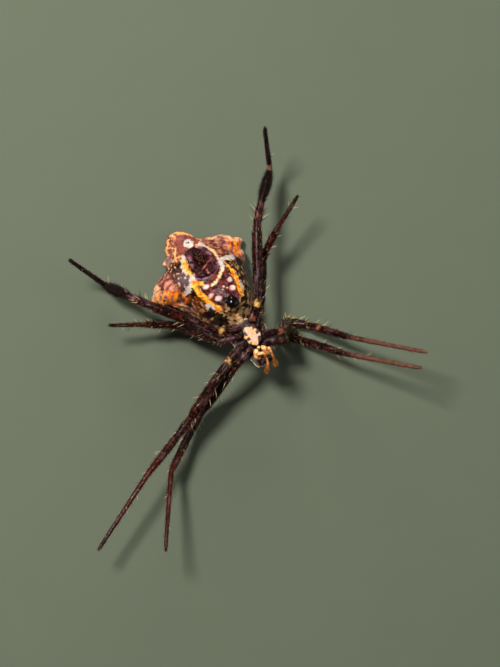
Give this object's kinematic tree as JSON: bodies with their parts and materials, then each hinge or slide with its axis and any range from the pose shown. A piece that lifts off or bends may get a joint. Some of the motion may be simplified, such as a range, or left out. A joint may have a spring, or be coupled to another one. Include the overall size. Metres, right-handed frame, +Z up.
{
  "type": "orb weaver spider",
  "caption": "Life-size adult female orb weaver spider lying on its back, with a lobed abdomen, long spread legs and mouthparts.",
  "frame": {"origin": "centre of the bounding box, on the resting plane", "axes": "+Z up, toward the belly side; -Y toward the head; +X toward the spider's right"},
  "size_m": [0.042, 0.0362, 0.0127],
  "materials": {
    "abdomen": "leathery dark brown skin with cream and yellow marks",
    "legs": "dark maroon brown, hairy, softly glossy",
    "leg_ends": "reddish brown, finely hairy",
    "carapace": "dull brown under short silver hair",
    "breastplate": "pale cream plate with a dark edge",
    "mouth_edges": "tan with pale rims",
    "jaws": "glossy black",
    "palps": "orange, hairy",
    "eyes": "wet black"
  },
  "bodies": {
    "root": {"leg_left_1_femur": "legs", "leg_left_1_tibia": "legs", "leg_left_1_foot": "leg_ends", "leg_left_2_femur": "legs", "leg_left_2_tibia": "legs", "leg_left_2_foot": "leg_ends", "leg_left_3_femur": "legs", "leg_left_3_tibia": "legs", "leg_left_3_foot": "leg_ends", "leg_left_4_femur": "legs", "leg_left_4_tibia": "legs", "leg_left_4_foot": "leg_ends", "leg_right_1_femur": "legs", "leg_right_1_tibia": "legs", "leg_right_1_foot": "leg_ends", "leg_right_2_femur": "legs", "leg_right_2_tibia": "legs", "leg_right_2_foot": "leg_ends", "leg_right_3_femur": "legs", "leg_right_3_tibia": "legs", "leg_right_3_foot": "leg_ends", "leg_right_4_femur": "legs", "leg_right_4_tibia": "legs", "leg_right_4_foot": "leg_ends", "eye_front_middle_left": "eyes", "eye_front_middle_right": "eyes", "eye_rear_middle_left": "eyes", "eye_rear_middle_right": "eyes", "eye_front_side_left": "eyes", "eye_front_side_right": "eyes", "eye_rear_side_left": "eyes", "eye_rear_side_right": "eyes", "abdomen": "abdomen", "spinnerets": "abdomen", "waist": "legs", "carapace": "carapace", "breastplate": "breastplate", "epigynum": "jaws", "labium": "mouth_edges", "maxilla_left": "mouth_edges", "maxilla_right": "mouth_edges", "chelicera_left": "jaws", "chelicera_right": "jaws", "fang_left": "jaws", "fang_right": "jaws", "palp_left": "palps", "palp_right": "palps"}
  },
  "joints": []
}
